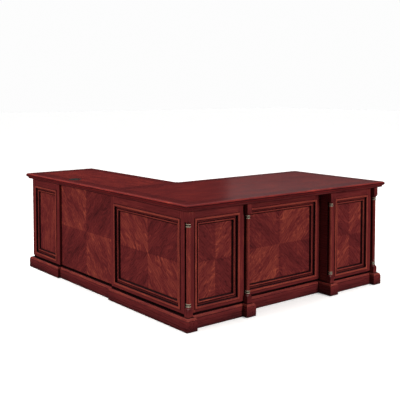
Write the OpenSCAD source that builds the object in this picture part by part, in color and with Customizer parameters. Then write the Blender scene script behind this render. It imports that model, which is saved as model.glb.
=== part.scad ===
// Corner desk: a main desk with a right-hand drawer pedestal, and a return with its own pedestal.
// The user sits inside the L. Millimetres, +Z up, origin under the middle of the bounding box.
// The visitor's side of the main desk faces -Y, and the return runs to +Y along the -X side.

/* [Overall] */
// Width of the main desk over its top
total_w = 1829; // [1750:1:1900]
// Length over both tops, from the visitor's edge to the far end of the return
total_d = 2134; // [2100:1:2300]
// Depth of the main top
desk_d = 914; // [900:1:940]
// Width of the return top
return_w = 610; // [590:1:640]
// Height of the working surface
total_h = 762; // [735:1:765]

/* [Tops] */
// How far a top's edge stands out past the plinth
top_overhang = 15; // [12:1:20]
// Thickness of each top board
board_t = 25; // [22:1:28]
// Thickness of the frame with the cove edge under each top
underframe_t = 16; // [14:1:18]
// Diameter of the cable hole in the return top
grommet_hole_d = 80; // [76:1:82]

/* [Plinth and posts] */
// Height of the plinth's top above the floor
plinth_h = 86; // [80:1:95]
// Width of a square plinth block, and of the setting of each post
block_w = 78; // [72:1:84]
// Distance from one plinth block to the next across a pedestal
post_pitch = 471; // [465:1:480]
// Side of the square ends of a post
post_w = 38; // [34:1:40]
// Diameter of a post's turned shaft
shaft_d = 25; // [22:1:28]

/* [Drawers] */
// Travel of the drawers in the right pedestal
desk_travel = 500; // [400:10:520]
// Travel of the drawers in the return pedestal
return_travel = 400; // [300:10:400]
// Travel of the centre drawer
centre_travel = 300; // [200:10:300]
// Gap round each drawer front
front_gap = 3; // [2:0.5:4]

/* [Hidden] */

wood = "#6e2c27";
wood_light = "#7c342c";
wood_dark = "#4c1e1c";
birch = "#c9a377";
brass = "#8d7650";
steel = "#9fa3a6";
black = "#20201f";

$fn = 48;
joint_gap = 0.2;

// The plinth's outline: u runs to +X from its left face, v to +Y from its front face.
plinth_w = total_w - 2 * top_overhang;
plinth_d = total_d - 2 * top_overhang;
seam_v = desk_d - top_overhang;
return_u = return_w - top_overhang;

glide_h = 3;
top_z = total_h - board_t;
under_z = top_z - underframe_t;
body_h = under_z - plinth_h;

plinth_t = 50;
round_r = (block_w - post_w) / 2;
rail_set = 38;
middle_set = 114;
front_v = rail_set + 15;
middle_v = middle_set + 15;
side_u = 25;
bay_u = post_pitch + block_w;
pedestal_u = plinth_w - bay_u;
desk_end_v = seam_v - 13;
body_end_v = desk_end_v - 7;
recess_u = 19;
modesty_u = 44;
modesty_t = 18;
return_ped_v = 1616;
return_body_v0 = return_ped_v + 15;
return_body_v1 = plinth_d - 20;
return_face_u = return_u - 30;

frame_t = 32;
panel_t = 8;
panel_back = 21.5;
mould_w = 50;
mould_lip = 14;
mould_bottom = 28;
mould_top = 53;
side_t = 22;
board = 18;
front_t = 20;

// ---------- shared shapes ----------

module at_plinth() {
    translate([-plinth_w / 2, top_overhang - total_d / 2, 0]) children();
}

module slab(u, v, z) {
    translate([u[0], v[0], z[0]]) cube([u[1] - u[0], v[1] - v[0], z[1] - z[0]]);
}

// Points of a quarter ellipse about c, from angle a0 to a1.
function arc(c, rx, rz, a0, a1, n = 6) =
    [for (i = [0:n]) let (a = a0 + (a1 - a0) * i / n) [c[0] + rx * cos(a), c[1] + rz * sin(a)]];

// Each edge is a list of [distance in from the tip, height], from the bottom up.
function square_edge(t) = [[0, 0], [0, t]];
nose_edge = concat(
    [[6, 0]],
    arc([6, 6], 6, 6, 250, 180, 4),
    arc([14, board_t - 10], 14, 10, 180, 90)
);
cove_edge = concat(
    [[15, 0], [15, 3]],
    arc([8, 3], 6, underframe_t - 5, 0, 60, 5),
    [[8, underframe_t - 2], [8, underframe_t]]
);
plinth_edge = concat(
    [[0, 0]],
    arc([round_r, plinth_h - glide_h - round_r], round_r, round_r, 180, 90)
);

// Section of a board w wide: each side has the moulded edge, or is square.
function section(w, edge, t, low, high) = concat(
    [for (p = low ? edge : square_edge(t)) p],
    [for (p = reversed(high ? edge : square_edge(t))) [w - p[0], p[1]]]
);
function reversed(list) = [for (i = [len(list) - 1:-1:0]) list[i]];

// A board with a moulding run round the chosen sides: [left, right, front, back].
module moulded_board(u, v, z, edge, t, sides) {
    w = u[1] - u[0];
    d = v[1] - v[0];
    translate([u[0], v[0], z]) intersection() {
        translate([0, d, 0]) rotate([90, 0, 0])
            linear_extrude(d) polygon(section(w, edge, t, sides[0], sides[1]));
        rotate([90, 0, 90])
            linear_extrude(w) polygon(section(d, edge, t, sides[2], sides[3]));
    }
}

// Stands a shape drawn flat (X along, Y up, Z outwards) on one of the body's faces.
module on_front(u, v) { translate([u, v, plinth_h]) rotate([90, 0, 0]) children(); }
module on_left(u, v) { translate([u, v, plinth_h]) rotate([90, 0, -90]) children(); }
module on_back(u, v) { translate([u, v, plinth_h]) rotate([90, 0, 180]) children(); }
module on_right(u, v) { translate([u, v, plinth_h]) rotate([90, 0, 90]) children(); }

// ---------- framed faces ----------

// A face is [width, margin to the moulding at its start, margin at its end].
face_bay = [post_pitch - post_w, 36, 36];
face_middle = [pedestal_u - bay_u + 2 * side_u - 2 * joint_gap, 33, 33];
face_end = [body_end_v - round_r - post_w, 29, 40];
face_return = [return_body_v1 - return_body_v0, 43, 43];

function mould_x(face) = face[1];
function mould_len(face) = face[0] - face[1] - face[2];
mould_h = body_h - mould_bottom - mould_top;

module frame_of(face) {
    difference() {
        translate([0, 0, -frame_t]) cube([face[0], body_h, frame_t]);
        translate([mould_x(face) + mould_lip, mould_bottom + mould_lip, -frame_t - 1])
            cube([mould_len(face) - 2 * mould_lip, mould_h - 2 * mould_lip, frame_t + 2]);
    }
}

module panel_of(face) {
    fit = mould_lip + joint_gap;
    translate([mould_x(face) + fit, mould_bottom + fit, -panel_back - panel_t])
        cube([mould_len(face) - 2 * fit, mould_h - 2 * fit, panel_t]);
}

// Section of the panel moulding: [distance in from its outer edge, height above the frame's face].
mould_section = concat(
    [[0, 0], [0, 1]],
    arc([9.5, 1], 9.5, 5, 180, 0, 8),
    [[19.5, -8]],
    arc([26, -8], 6, 3, 180, 350, 5),
    arc([38.5, -12], 5.5, 4, 170, 10, 5),
    [[46, -13], [mould_w, -18], [mould_w, -panel_back]],
    [[mould_lip + joint_gap, -panel_back], [mould_lip + joint_gap, 0]]
);

module mould_strip(length) {
    intersection() {
        rotate([90, 0, 90]) linear_extrude(length) polygon(mould_section);
        translate([0, 0, -2 * mould_w]) linear_extrude(4 * mould_w) polygon([
            [0, 0], [length, 0], [length - mould_w, mould_w], [mould_w, mould_w]
        ]);
    }
}

module moulding_of(face) {
    w = mould_len(face);
    translate([mould_x(face), mould_bottom, 0]) {
        mould_strip(w);
        translate([w, mould_h, 0]) rotate([0, 0, 180]) mould_strip(w);
        translate([0, mould_h, 0]) rotate([0, 0, -90]) mould_strip(mould_h);
        translate([w, 0, 0]) rotate([0, 0, 90]) mould_strip(mould_h);
    }
}

module at_front_left() { on_front(round_r + post_w, front_v) children(); }
module at_front_middle() { on_front(bay_u - side_u + joint_gap, middle_v) children(); }
module at_front_right() { on_front(pedestal_u + round_r + post_w, front_v) children(); }
module at_left_end() { on_left(side_u, body_end_v) children(); }
module at_right_end() { on_right(plinth_w - side_u, round_r + post_w) children(); }
module at_return_pedestal() { on_left(side_u, return_body_v1) children(); }
module at_return_end() { on_back(return_face_u, return_body_v1) children(); }

module front_frames() {
    color(wood) at_plinth() {
        at_front_left() frame_of(face_bay);
        at_front_middle() frame_of(face_middle);
        at_front_right() frame_of(face_bay);
    }
}

// The right end is the left end's mirror image, so its margins run the other way.
face_right = [face_end[0], face_end[2], face_end[1]];

// The return's far end is seen together with the edge of the frame beside it.
behind_frame = side_u + frame_t + joint_gap;
face_far = [return_face_u - behind_frame, 43, 43 - frame_t];

module side_frames() {
    color(wood) at_plinth() {
        at_left_end() frame_of(face_end);
        at_right_end() frame_of(face_right);
        at_return_pedestal() frame_of(face_return);
        at_return_end() frame_of(face_far);
    }
}

module panel_mouldings() {
    color(wood_light) at_plinth() {
        at_front_left() moulding_of(face_bay);
        at_front_middle() moulding_of(face_middle);
        at_front_right() moulding_of(face_bay);
        at_left_end() moulding_of(face_end);
        at_right_end() moulding_of(face_right);
        at_return_pedestal() moulding_of(face_return);
        at_return_end() moulding_of(face_far);
    }
}

module front_left_panel() { color(wood) at_plinth() at_front_left() panel_of(face_bay); }
module front_middle_panel() { color(wood) at_plinth() at_front_middle() panel_of(face_middle); }
module front_right_panel() { color(wood) at_plinth() at_front_right() panel_of(face_bay); }
module left_end_panel() { color(wood) at_plinth() at_left_end() panel_of(face_end); }
module right_end_panel() { color(wood) at_plinth() at_right_end() panel_of(face_right); }
module return_pedestal_panel() {
    color(wood) at_plinth() at_return_pedestal() panel_of(face_return);
}
module return_end_panel() { color(wood) at_plinth() at_return_end() panel_of(face_far); }

// ---------- tops ----------

grommet_at = [92, 1502];
inner_corner_u = return_u - 7;

module desk_board(edge, t, z) {
    all_round = [-top_overhang, plinth_w + top_overhang];
    intersection() {
        moulded_board(all_round, [-top_overhang, seam_v], z, edge, t, [true, true, true, false]);
        union() {
            slab([-top_overhang, inner_corner_u], [-top_overhang, seam_v], [z - 1, z + t + 1]);
            moulded_board(
                [inner_corner_u - 5, plinth_w + top_overhang], [-top_overhang - 50, seam_v],
                z, edge, t, [false, false, false, true]
            );
        }
    }
}

module return_board(edge, t, z) {
    moulded_board(
        [-top_overhang, return_u], [seam_v + joint_gap, plinth_d + top_overhang],
        z, edge, t, [true, true, false, true]
    );
}

module desk_top() {
    color(wood) at_plinth() desk_board(nose_edge, board_t, top_z);
}

module return_top() {
    color(wood) at_plinth() difference() {
        return_board(nose_edge, board_t, top_z);
        translate([grommet_at[0], grommet_at[1], top_z - 1])
            cylinder(d = grommet_hole_d, h = board_t + 2);
    }
}

under_rim = 77;

module top_underframes() {
    color(wood_dark) at_plinth() {
        difference() {
            desk_board(cove_edge, underframe_t, under_z);
            slab(
                [under_rim - top_overhang, plinth_w + top_overhang - under_rim],
                [under_rim - top_overhang, seam_v - under_rim],
                [under_z - 1, top_z + 1]
            );
        }
        difference() {
            return_board(cove_edge, underframe_t, under_z);
            slab(
                [under_rim - top_overhang, return_u - under_rim],
                [seam_v + under_rim, plinth_d + top_overhang - under_rim],
                [under_z - 1, top_z + 1]
            );
            translate([grommet_at[0], grommet_at[1], under_z - 1])
                cylinder(d = grommet_hole_d, h = underframe_t + 2);
        }
    }
}

// ---------- posts ----------

near_us = [block_w / 2, post_pitch + block_w / 2];
post_us = [near_us[0], near_us[1], plinth_w - near_us[1], plinth_w - near_us[0]];
ferrule_low = 146;
ferrule_high = 624;
ferrule_h = 18;
taper_h = 20;
neck_r = shaft_d / 2 + 0.5;
corner_r = post_w * 0.72;

// The square end of a post, its corners cut away in a cone down to the shaft.
module post_end(square_h) {
    intersection() {
        translate([-post_w / 2, -post_w / 2, 0]) cube([post_w, post_w, square_h + taper_h]);
        union() {
            cylinder(r = corner_r, h = square_h);
            translate([0, 0, square_h]) cylinder(r1 = corner_r, r2 = neck_r, h = taper_h);
        }
    }
}

module front_posts() {
    low_square = ferrule_low - taper_h - plinth_h;
    high_square = under_z - ferrule_high - ferrule_h - taper_h;
    color(wood_light) at_plinth() for (u = post_us) translate([u, block_w / 2, 0]) {
        translate([0, 0, plinth_h]) post_end(low_square);
        translate([0, 0, ferrule_low]) cylinder(d = shaft_d, h = ferrule_high + ferrule_h - ferrule_low);
        translate([0, 0, under_z]) mirror([0, 0, 1]) post_end(high_square);
    }
}

module ferrule() {
    difference() {
        union() {
            cylinder(d = shaft_d + 3, h = ferrule_h);
            cylinder(d = shaft_d + 6, h = 4);
            translate([0, 0, ferrule_h - 4]) cylinder(d = shaft_d + 6, h = 4);
        }
        translate([0, 0, -1]) cylinder(d = shaft_d + 0.2, h = ferrule_h + 2);
    }
}

module post_ferrules() {
    color(brass) at_plinth() for (u = post_us, z = [ferrule_low, ferrule_high])
        translate([u, block_w / 2, z]) ferrule();
}

// ---------- plinth ----------

plinth_tall = plinth_h - glide_h;

module plinth_run(u, v, sides) {
    moulded_board(u, v, glide_h, plinth_edge, plinth_tall, sides);
}

module front_plinth_pair(u) {
    plinth_run([u, u + block_w], [0, block_w], [true, true, true, false]);
    plinth_run([u + post_pitch, u + bay_u], [0, block_w], [true, true, true, false]);
    plinth_run(
        [u + block_w + joint_gap, u + post_pitch - joint_gap],
        [rail_set, rail_set + plinth_t], [false, false, true, false]
    );
}

module desk_plinth() {
    behind = block_w + joint_gap;
    right = plinth_w;
    color(wood) at_plinth() {
        front_plinth_pair(0);
        front_plinth_pair(pedestal_u);
        plinth_run([0, plinth_t], [behind, desk_end_v], [true, false, false, true]);
        plinth_run([right - plinth_t, right], [behind, desk_end_v], [false, true, false, true]);
        plinth_run([bay_u - plinth_t, bay_u], [behind, middle_set + plinth_t], [false, true, false, false]);
        plinth_run([pedestal_u, pedestal_u + plinth_t], [behind, desk_end_v], [true, false, false, true]);
        plinth_run(
            [bay_u + joint_gap, pedestal_u - joint_gap],
            [middle_set, middle_set + plinth_t], [false, false, true, false]
        );
        plinth_run(
            [pedestal_u + plinth_t + joint_gap, right - plinth_t - joint_gap],
            [desk_end_v - plinth_t, desk_end_v], [false, false, false, true]
        );
    }
}

return_plinth_u = return_face_u + 15;

module return_plinth() {
    u1 = return_plinth_u;
    cross = [plinth_t + joint_gap, u1 - plinth_t - joint_gap];
    color(wood) at_plinth() {
        plinth_run(
            [recess_u, recess_u + plinth_t],
            [desk_end_v + joint_gap, return_ped_v - joint_gap], [true, false, false, false]
        );
        plinth_run([0, plinth_t], [return_ped_v, plinth_d], [true, false, true, true]);
        plinth_run([u1 - plinth_t, u1], [return_ped_v, plinth_d], [false, true, true, true]);
        plinth_run(cross, [return_ped_v, return_ped_v + plinth_t], [false, false, true, false]);
        plinth_run(cross, [plinth_d - plinth_t, plinth_d], [false, false, false, true]);
    }
}

glide_at = [
    [39, 39], [510, 39], [pedestal_u + 39, 39], [plinth_w - 39, 39],
    [25, desk_end_v - 30], [plinth_w - 25, desk_end_v - 30], [pedestal_u + 25, desk_end_v - 30],
    [plinth_w / 2, middle_set + 25], [recess_u + 25, 1250],
    [25, return_ped_v + 30], [25, plinth_d - 30],
    [return_plinth_u - 25, return_ped_v + 30], [return_plinth_u - 25, plinth_d - 30]
];

module levelling_glides() {
    color(black) at_plinth() for (p = glide_at) translate([p[0], p[1], 0]) cylinder(r = 14, h = glide_h);
}

// ---------- plain panels and boards ----------

module return_modesty_panel() {
    color(wood) at_plinth() slab(
        [modesty_u, modesty_u + modesty_t],
        [body_end_v + joint_gap, return_body_v0 - joint_gap], [plinth_h, under_z]
    );
}

module return_pedestal_side() {
    color(wood) at_plinth() slab(
        [behind_frame, return_face_u], [return_body_v0, return_body_v0 + side_t], [plinth_h, under_z]
    );
}

module left_bay_side() {
    color(wood) at_plinth() slab(
        [bay_u - side_u - frame_t, bay_u - side_u],
        [round_r + post_w + joint_gap, middle_v + frame_t], [plinth_h, under_z]
    );
}

desk_side_u = [pedestal_u + side_u, pedestal_u + side_u + side_t];
lining_u = [plinth_w - side_u - frame_t - board, plinth_w - side_u - frame_t];
desk_inside_u = [desk_side_u[1], lining_u[0]];
front_back_v = front_v + frame_t;

module desk_pedestal_side() {
    v = [round_r + post_w + joint_gap, body_end_v];
    color(wood) at_plinth() slab(desk_side_u, v, [plinth_h, under_z]);
}

// The boards behind the framed ends, which carry the drawers' slides on those sides.
module pedestal_linings() {
    set_back = front_t + 2;
    color(birch) at_plinth() {
        slab(
            [lining_u[0], lining_u[1] - joint_gap],
            [front_back_v + joint_gap, body_end_v - set_back], [plinth_h, under_z]
        );
        slab(
            [behind_frame, return_face_u - set_back],
            [lining_v[0], lining_v[1] - joint_gap], [plinth_h, under_z]
        );
    }
}

// Bottom board and two top rails of a pedestal, each inside its sides.
module desk_pedestal_boards() {
    u = [desk_inside_u[0] + joint_gap, desk_inside_u[1] - joint_gap];
    back = body_end_v - front_t - 5;
    color(birch) at_plinth() {
        slab(u, [front_back_v + joint_gap, back], [plinth_h, plinth_h + board]);
        slab(u, [front_back_v + joint_gap, front_back_v + 80], [under_z - board, under_z]);
        slab(u, [back - 60, back], [under_z - board, under_z]);
    }
}

lining_v = [return_body_v1 - frame_t - board, return_body_v1 - frame_t];
return_inside_v = [return_body_v0 + side_t, lining_v[0]];

module return_pedestal_boards() {
    v = [return_inside_v[0] + joint_gap, return_inside_v[1] - joint_gap];
    back = return_face_u - front_t - 5;
    color(birch) at_plinth() {
        slab([behind_frame, back], v, [plinth_h, plinth_h + board]);
        slab([behind_frame, behind_frame + 60], v, [under_z - board, under_z]);
        slab([back - 60, back], v, [under_z - board, under_z]);
    }
}

// ---------- drawers ----------

// A drawer is drawn in its own frame: X across it, Y back into the carcass from the face, Z up.
slide_gap = 13;
box_t = 12;
bottom_t = 6;
front_low = plinth_h + board + front_gap;
front_high = under_z - board - front_gap;
desk_open_w = desk_inside_u[1] - desk_inside_u[0];
return_open_w = return_inside_v[1] - return_inside_v[0];
desk_box_l = desk_travel + 60;
return_box_l = return_travel + 40;
fronts_h = front_high - front_low - 2 * front_gap;
small_h = fronts_h * 0.26;
file_h = fronts_h - 2 * small_h;
half_h = (front_high - front_low - front_gap) / 2;

// Right pedestal: the drawers' faces look to +Y. Return pedestal: they look to +X.
module in_desk(z) {
    at_plinth() translate([desk_inside_u[1], body_end_v, z]) rotate([0, 0, 180]) children();
}
module in_return(z) {
    at_plinth() translate([return_face_u, return_inside_v[0], z]) rotate([0, 0, 90]) children();
}

// How far a drawer front laps over the carcass on each side of its opening.
desk_lap = [board, 0];
return_lap = [0, board];

// A drawer is [lowest edge of its front, height, width of its opening, box length, lap, in the return].
function desk_drawer(z, h) = [z, h, desk_open_w, desk_box_l, desk_lap, false];
function return_drawer(z) = [z, half_h, return_open_w, return_box_l, return_lap, true];
file_drawer = desk_drawer(front_low, file_h);
middle_drawer = desk_drawer(front_low + file_h + front_gap, small_h);
top_drawer = desk_drawer(front_low + file_h + small_h + 2 * front_gap, small_h);
return_lower = return_drawer(front_low);
return_upper = return_drawer(front_low + half_h + front_gap);

module in_place(d) {
    if (d[5]) in_return(d[0]) children();
    else in_desk(d[0]) children();
}

// A drawer front with a flat field standing inside a routed groove.
module drawer_front(open_w, h, lap) {
    groove = 5;
    margin = 26;
    w = open_w + lap[0] + lap[1] - 2 * front_gap;
    translate([front_gap - lap[0], 0, 0]) difference() {
        cube([w, front_t, h]);
        difference() {
            translate([margin, -1, margin]) cube([w - 2 * margin, 4, h - 2 * margin]);
            translate([margin + groove, -2, margin + groove])
                cube([w - 2 * margin - 2 * groove, 6, h - 2 * margin - 2 * groove]);
        }
    }
}

// Sides, sub-front, back and bottom, each a board of its own.
module drawer_box(open_w, length, h) {
    w = open_w - 2 * slide_gap;
    tall = h - 36;
    low = 14;
    inside = w - 2 * box_t - 2 * joint_gap;
    translate([slide_gap, front_t, low]) {
        cube([box_t, length, tall]);
        translate([w - box_t, 0, 0]) cube([box_t, length, tall]);
        translate([box_t + joint_gap, 0, 0]) cube([inside, box_t, tall]);
        translate([box_t + joint_gap, length - box_t, 0]) cube([inside, box_t, tall]);
        translate([box_t + joint_gap, box_t + joint_gap, 8])
            cube([inside, length - 2 * box_t - 2 * joint_gap, bottom_t]);
    }
}

pull_reach = 26;
pull_span = 96;

// A fixed bow handle on two feet with a back plate, centred at the origin on the face.
module pull() {
    rotate([90, 0, 0]) {
        translate([-64, -11, 0]) cube([128, 22, 2]);
        for (side = [-1, 1]) translate([side * pull_span / 2, 0, 1]) cylinder(r = 4.5, h = pull_reach - 1);
        translate([-pull_span / 2 - 8, 0, pull_reach]) rotate([0, 90, 0]) cylinder(r = 5, h = pull_span + 16);
    }
}

module drawer_pull(open_w, h, lap) {
    translate([(open_w + lap[1] - lap[0]) / 2, 0, h / 2]) pull();
}

// Telescopic slide: three nested steel channels, drawn from the carcass side at X = 0.
slide_web = 1.2;
module channel(x, depth, half, lip, length) {
    for (side = [-1, 1]) translate([min(x, x + depth), 0, side > 0 ? half - lip : -half])
        cube([abs(depth), length, lip]);
    translate([depth > 0 ? x : x - slide_web, 0, -half]) cube([slide_web, length, 2 * half]);
}
module slide_outer(length) { channel(0, 8, 22, 1.5, length); }
module slide_middle(length) { channel(4, 6.5, 19, 1.5, length); }
module slide_inner(length) { channel(slide_gap, -6, 16, 1.5, length); }

function slide_z(h) = 14 + (h - 36) / 2;

// Both sides of one drawer: the second is the first's mirror image.
module both_sides(open_w, h) {
    translate([0, front_t + 2, slide_z(h)]) children();
    translate([open_w, front_t + 2, slide_z(h)]) mirror([1, 0, 0]) children();
}

function slide_length(d) = d[3] - 10;

module slide_outer_members() {
    color(steel) {
        for (d = [file_drawer, middle_drawer, top_drawer, return_lower, return_upper])
            in_place(d) both_sides(d[2], d[1]) slide_outer(slide_length(d));
        centre_sides() slide_outer(centre_slide_l);
    }
}

module front_of(d) { color(wood) in_place(d) drawer_front(d[2], d[1], d[4]); }
module box_of(d) { color(birch) in_place(d) drawer_box(d[2], d[3], d[1]); }
module pull_of(d) { color(brass) in_place(d) drawer_pull(d[2], d[1], d[4]); }
module middles_of(d) { color(steel) in_place(d) both_sides(d[2], d[1]) slide_middle(slide_length(d)); }
module inners_of(d) { color(steel) in_place(d) both_sides(d[2], d[1]) slide_inner(slide_length(d)); }

lock_r = 9;
lock_clear = 0.3;
lock_at = [desk_open_w / 2 + 120, small_h - 13];

// The lock's own frame: Z runs out of the top drawer's face.
module at_lock() {
    in_place(top_drawer) translate([lock_at[0], 0, lock_at[1]]) rotate([90, 0, 0]) children();
}

module top_drawer_front() {
    color(wood) difference() {
        front_of(top_drawer);
        at_lock() translate([0, 0, -front_t - 1]) cylinder(r = lock_r + lock_clear, h = front_t + 2);
    }
}
module top_drawer_box() { box_of(top_drawer); }
module top_drawer_pull() { pull_of(top_drawer); }
module top_slide_middles() { middles_of(top_drawer); }
module top_slide_inners() { inners_of(top_drawer); }

module middle_drawer_front() { front_of(middle_drawer); }
module middle_drawer_box() { box_of(middle_drawer); }
module middle_drawer_pull() { pull_of(middle_drawer); }
module middle_slide_middles() { middles_of(middle_drawer); }
module middle_slide_inners() { inners_of(middle_drawer); }

module file_drawer_front() { front_of(file_drawer); }
module file_drawer_box() { box_of(file_drawer); }
module file_drawer_pull() { pull_of(file_drawer); }
module file_slide_middles() { middles_of(file_drawer); }
module file_slide_inners() { inners_of(file_drawer); }

module return_upper_front() { front_of(return_upper); }
module return_upper_box() { box_of(return_upper); }
module return_upper_pull() { pull_of(return_upper); }
module return_upper_middles() { middles_of(return_upper); }
module return_upper_inners() { inners_of(return_upper); }

module return_lower_front() { front_of(return_lower); }
module return_lower_box() { box_of(return_lower); }
module return_lower_pull() { pull_of(return_lower); }
module return_lower_middles() { middles_of(return_lower); }
module return_lower_inners() { inners_of(return_lower); }

module lock_core() {
    color(brass) at_lock() difference() {
        union() {
            translate([0, 0, 1 - front_t]) cylinder(r = lock_r, h = front_t - 1);
            cylinder(r = lock_r - 2, h = 1.5);
        }
        translate([-0.75, -4, -1]) cube([1.5, 8, 5]);
    }
}

// ---------- centre drawer: a keyboard tray whose front drops flat ----------

centre_w = 600;
centre_u = (return_u + pedestal_u + side_u) / 2;
centre_slide_l = centre_travel + 100;
hanger_t = 18;
hanger_low = top_z - 84;
tray_low = hanger_low + 8;
tray_t = 12;
tray_wall_h = 42;
flap_t = 18;
flap_h = 56;
flap_v = body_end_v - 4;
hinge_r = 3;
hinge_at = [10, 8];
hinge_fit = 0.05;
lug_r = 4.5;
lug_clear = 0.8;
lug_w = 20;
pin_out = 20;

// The centre drawer's own frame: X across its opening, Y back from its face, Z from the hangers' foot.
module in_centre(z) {
    at_plinth() translate([centre_u + centre_w / 2, flap_v, z]) rotate([0, 0, 180]) children();
}
module centre_sides() {
    in_centre(tray_low + 30) {
        translate([0, flap_t + 6, 0]) children();
        translate([centre_w, flap_t + 6, 0]) mirror([1, 0, 0]) children();
    }
}

// The hangers reach up to the top board, notched at the front to pass under the frame with the cove.
module drawer_hangers() {
    notch = under_rim - 20;
    color(wood_dark) in_centre(hanger_low) for (x = [-hanger_t, centre_w])
        translate([x, flap_t + 6, 0]) {
            translate([0, notch, 0]) cube([hanger_t, centre_slide_l - notch, top_z - hanger_low]);
            cube([hanger_t, notch, under_z - hanger_low]);
        }
}

tray_w = centre_w - 2 * slide_gap;
lug_xs = [75, tray_w - 75 - lug_w];

// A rod along X about the flap's hinge line, in the centre drawer's own frame.
module hinge_rod(x, length, r) {
    translate([slide_gap + x, hinge_at[0], hinge_at[1]]) rotate([0, 90, 0]) cylinder(r = r, h = length);
}

module centre_drawer_tray() {
    tray_y = flap_t + 6;
    color(wood_dark) in_centre(tray_low) {
        translate([slide_gap, tray_y, 0]) {
            cube([tray_w, centre_slide_l, tray_t]);
            for (x = [0, tray_w - box_t]) translate([x, 0, 0])
                cube([box_t, centre_slide_l, tray_t + tray_wall_h]);
            translate([0, centre_slide_l - box_t, 0]) cube([tray_w, box_t, tray_t + tray_wall_h]);
        }
        for (x = lug_xs) {
            hinge_rod(x, lug_w, lug_r);
            hinge_rod(x - pin_out, lug_w + 2 * pin_out, hinge_r);
            translate([slide_gap + x, hinge_at[0], hinge_at[1] - lug_r])
                cube([lug_w, tray_y - hinge_at[0] + 1, lug_r + tray_t - hinge_at[1]]);
        }
    }
}

// The flap turns on the pins of the tray's two lugs, each of which stands in a pocket.
module centre_drawer_flap() {
    overlap = hanger_t - 4;
    room = lug_r + lug_clear;
    color(wood) in_centre(tray_low) difference() {
        translate([-overlap, 0, 0]) cube([centre_w + 2 * overlap, flap_t, flap_h]);
        for (x = lug_xs) {
            hinge_rod(x - pin_out - 1, lug_w + 2 * pin_out + 2, hinge_r + hinge_fit);
            translate([slide_gap + x - lug_clear, hinge_at[0] - room, -1])
                cube([lug_w + 2 * lug_clear, flap_t, hinge_at[1] + room + 1]);
        }
    }
}

module centre_drawer_inners() {
    color(steel) centre_sides() slide_inner(centre_slide_l);
}

// ---------- fittings ----------

plate_us = [150, 440];
plate_t = 3;

module joining_plates() {
    color(steel) at_plinth() for (u = plate_us)
        slab([u - 20, u + 20], [seam_v - 60, seam_v + 60], [under_z - plate_t, under_z]);
}

module plate_screws() {
    color(steel) at_plinth() for (u = plate_us, v = [-45, -20, 20, 45])
        translate([u, seam_v + v, under_z - plate_t - 2.4]) cylinder(r1 = 2.6, r2 = 4, h = 2.4);
}

sleeve_r = grommet_hole_d / 2 - 0.3;

module grommet_sleeve() {
    color(black) at_plinth() translate([grommet_at[0], grommet_at[1], top_z]) difference() {
        union() {
            cylinder(r = sleeve_r, h = board_t);
            translate([0, 0, board_t]) cylinder(r = sleeve_r + 6, h = 2);
        }
        translate([0, 0, -1]) cylinder(r = sleeve_r - 4, h = board_t + 4);
        translate([0, 0, board_t - 2]) cylinder(r = sleeve_r - 1.5, h = 6);
    }
}

// The cap drops into the sleeve and turns in it, with a mouth for cables at one side.
module grommet_cap() {
    color(black) at_plinth() translate([grommet_at[0], grommet_at[1], top_z + board_t - 1.6]) difference() {
        cylinder(r = sleeve_r - 2, h = 3.4);
        translate([sleeve_r - 17, -9, -1]) cube([20, 18, 6]);
    }
}

desk_top();
return_top();
top_underframes();
front_posts();
post_ferrules();
desk_plinth();
return_plinth();
levelling_glides();
front_frames();
side_frames();
panel_mouldings();
front_left_panel();
front_middle_panel();
front_right_panel();
left_end_panel();
right_end_panel();
return_pedestal_panel();
return_modesty_panel();
return_end_panel();
left_bay_side();
desk_pedestal_side();
pedestal_linings();
desk_pedestal_boards();
return_pedestal_side();
return_pedestal_boards();
drawer_hangers();
slide_outer_members();
joining_plates();
plate_screws();
grommet_sleeve();
grommet_cap();
top_drawer_front();
top_drawer_box();
top_drawer_pull();
top_slide_middles();
top_slide_inners();
middle_drawer_front();
middle_drawer_box();
middle_drawer_pull();
middle_slide_middles();
middle_slide_inners();
file_drawer_front();
file_drawer_box();
file_drawer_pull();
file_slide_middles();
file_slide_inners();
return_upper_front();
return_upper_box();
return_upper_pull();
return_upper_middles();
return_upper_inners();
return_lower_front();
return_lower_box();
return_lower_pull();
return_lower_middles();
return_lower_inners();
centre_drawer_tray();
centre_drawer_flap();
centre_drawer_inners();
lock_core();
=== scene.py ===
import math

import bmesh
import bpy
from mathutils import Matrix, Vector


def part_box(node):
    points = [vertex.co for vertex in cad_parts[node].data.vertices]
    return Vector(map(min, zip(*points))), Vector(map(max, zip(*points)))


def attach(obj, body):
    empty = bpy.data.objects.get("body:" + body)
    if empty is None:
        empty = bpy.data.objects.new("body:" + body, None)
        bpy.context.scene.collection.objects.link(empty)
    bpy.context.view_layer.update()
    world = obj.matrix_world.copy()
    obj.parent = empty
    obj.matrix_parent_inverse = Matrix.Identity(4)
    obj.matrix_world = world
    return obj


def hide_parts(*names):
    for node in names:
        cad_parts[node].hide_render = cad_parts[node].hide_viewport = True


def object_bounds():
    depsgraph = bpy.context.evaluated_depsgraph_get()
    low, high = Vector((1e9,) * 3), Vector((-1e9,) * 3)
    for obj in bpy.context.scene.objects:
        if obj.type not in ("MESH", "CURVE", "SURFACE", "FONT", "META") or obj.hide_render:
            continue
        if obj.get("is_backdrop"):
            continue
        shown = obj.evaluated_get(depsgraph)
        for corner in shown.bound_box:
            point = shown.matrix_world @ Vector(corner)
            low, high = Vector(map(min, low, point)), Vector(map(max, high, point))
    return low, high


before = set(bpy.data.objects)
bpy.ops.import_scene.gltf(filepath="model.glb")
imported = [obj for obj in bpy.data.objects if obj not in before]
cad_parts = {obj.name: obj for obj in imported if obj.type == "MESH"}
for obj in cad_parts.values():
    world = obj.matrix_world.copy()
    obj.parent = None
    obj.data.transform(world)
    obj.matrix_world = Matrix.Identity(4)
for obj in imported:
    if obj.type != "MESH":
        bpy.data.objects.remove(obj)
cad_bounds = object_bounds()

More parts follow.
